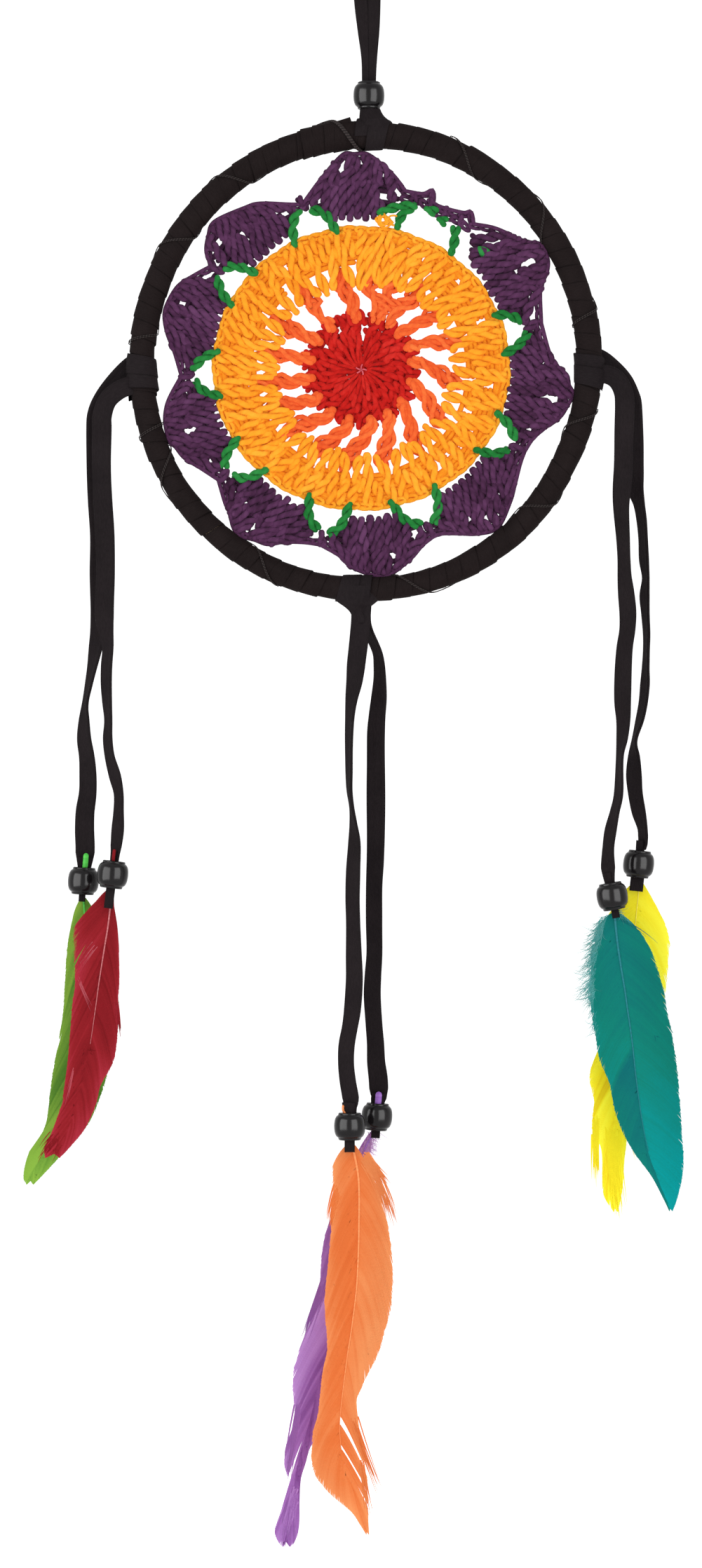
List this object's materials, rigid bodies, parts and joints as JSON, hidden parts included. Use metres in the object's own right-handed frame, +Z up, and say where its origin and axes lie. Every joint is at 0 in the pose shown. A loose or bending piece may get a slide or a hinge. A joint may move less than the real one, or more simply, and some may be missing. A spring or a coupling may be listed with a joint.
{
  "type": "dream catcher",
  "caption": "Wound hoop with a crocheted sunburst mandala lashed inside it, a hanging loop with a bead, and ribbons that end in beads and coloured feathers.",
  "frame": {"origin": "the point on the nail or hook where the crown of the hanging loop bears", "axes": "+X to the right and +Z up as it hangs on a wall, the front faces -Y"},
  "size_m": [0.2231, 0.0214, 0.5517],
  "materials": {
    "ribbon": "matt brushed suede-like ribbon",
    "bead": "satin black, soft highlights",
    "cane": "plain, hidden under the winding",
    "thread": "thin black sewing thread",
    "red_yarn": "plied yarn, matt",
    "orange_yarn": "plied yarn, matt",
    "yellow_yarn": "plied yarn, matt",
    "green_yarn": "plied yarn, matt",
    "purple_yarn": "plied yarn, matt",
    "green_feather": "dyed feather, soft sheen",
    "red_feather": "dyed feather, soft sheen",
    "orange_feather": "dyed feather, soft sheen",
    "violet_feather": "dyed feather, soft sheen",
    "teal_feather": "dyed feather, soft sheen",
    "yellow_feather": "dyed feather, soft sheen"
  },
  "bodies": {
    "loop": {"hanging_loop": "ribbon"},
    "loop_bead": {"top_bead": "bead"},
    "top_knot": {"top_tie": "ribbon"},
    "hoop": {"hoop_ring": "cane", "hoop_winding": "ribbon", "left_tie": "ribbon", "right_tie": "ribbon", "bottom_tie": "ribbon", "mandala_red_centre": "red_yarn", "mandala_orange_spokes": "orange_yarn", "mandala_yellow_round": "yellow_yarn", "mandala_green_legs": "green_yarn", "mandala_purple_petals": "purple_yarn", "lashing_top_left": "thread", "lashing_left_bottom": "thread", "lashing_bottom_right": "thread", "lashing_right_top": "thread"},
    "strand_green": {"ribbon_green": "ribbon"},
    "drop_green": {"tail_green": "ribbon", "bead_green": "bead", "feather_green": "green_feather"},
    "strand_red": {"ribbon_red": "ribbon"},
    "drop_red": {"tail_red": "ribbon", "bead_red": "bead", "feather_red": "red_feather"},
    "strand_orange": {"ribbon_orange": "ribbon"},
    "drop_orange": {"tail_orange": "ribbon", "bead_orange": "bead", "feather_orange": "orange_feather"},
    "strand_violet": {"ribbon_violet": "ribbon"},
    "drop_violet": {"tail_violet": "ribbon", "bead_violet": "bead", "feather_violet": "violet_feather"},
    "strand_teal": {"ribbon_teal": "ribbon"},
    "drop_teal": {"tail_teal": "ribbon", "bead_teal": "bead", "feather_teal": "teal_feather"},
    "strand_yellow": {"ribbon_yellow": "ribbon"},
    "drop_yellow": {"tail_yellow": "ribbon", "bead_yellow": "bead", "feather_yellow": "yellow_feather"}
  },
  "joints": [
    {"name": "top_bead_slide", "type": "slide", "parent": "loop", "child": "loop_bead", "axis": [0, 0, 1], "range_m": [0, 0.025]},
    {"name": "hoop_twist", "type": "hinge", "parent": "loop", "child": "top_knot", "pos_m": [0.0012, 0, -0.0654], "axis": [0, 0, 1], "range_deg": [-75, 75]},
    {"name": "hoop_tilt", "type": "hinge", "parent": "top_knot", "child": "hoop", "pos_m": [0, 0, -0.0744], "axis": [1, 0, 0], "range_deg": [-20, 20]},
    {"name": "swing_green", "type": "hinge", "parent": "hoop", "child": "strand_green", "pos_m": [-0.0912, 0.0022, -0.1732], "axis": [0, 1, 0], "range_deg": [-15, 15]},
    {"name": "dangle_green", "type": "hinge", "parent": "strand_green", "child": "drop_green", "pos_m": [-0.09484, 0.0056, -0.32051], "axis": [0, 1, 0], "range_deg": [-25, 25]},
    {"name": "swing_red", "type": "hinge", "parent": "hoop", "child": "strand_red", "pos_m": [-0.0888, -0.0022, -0.1732], "axis": [0, 1, 0], "range_deg": [-15, 15]},
    {"name": "dangle_red", "type": "hinge", "parent": "strand_red", "child": "drop_red", "pos_m": [-0.08437, -0.0056, -0.31814], "axis": [0, 1, 0], "range_deg": [-25, 25]},
    {"name": "swing_orange", "type": "hinge", "parent": "hoop", "child": "strand_orange", "pos_m": [-0.0032, -0.0022, -0.2372], "axis": [0, 1, 0], "range_deg": [-15, 15]},
    {"name": "dangle_orange", "type": "hinge", "parent": "strand_orange", "child": "drop_orange", "pos_m": [-0.0053, -0.0056, -0.4028], "axis": [0, 1, 0], "range_deg": [-25, 25]},
    {"name": "swing_violet", "type": "hinge", "parent": "hoop", "child": "strand_violet", "pos_m": [-0.0012, 0.0022, -0.2372], "axis": [0, 1, 0], "range_deg": [-15, 15]},
    {"name": "dangle_violet", "type": "hinge", "parent": "strand_violet", "child": "drop_violet", "pos_m": [0.00426, 0.0056, -0.40041], "axis": [0, 1, 0], "range_deg": [-25, 25]},
    {"name": "swing_teal", "type": "hinge", "parent": "hoop", "child": "strand_teal", "pos_m": [0.0876, -0.0022, -0.1652], "axis": [0, 1, 0], "range_deg": [-15, 15]},
    {"name": "dangle_teal", "type": "hinge", "parent": "strand_teal", "child": "drop_teal", "pos_m": [0.0821, -0.0056, -0.32548], "axis": [0, 1, 0], "range_deg": [-25, 25]},
    {"name": "swing_yellow", "type": "hinge", "parent": "hoop", "child": "strand_yellow", "pos_m": [0.09, 0.0022, -0.1652], "axis": [0, 1, 0], "range_deg": [-15, 15]},
    {"name": "dangle_yellow", "type": "hinge", "parent": "strand_yellow", "child": "drop_yellow", "pos_m": [0.09314, 0.0056, -0.31483], "axis": [0, 1, 0], "range_deg": [-25, 25]}
  ]
}
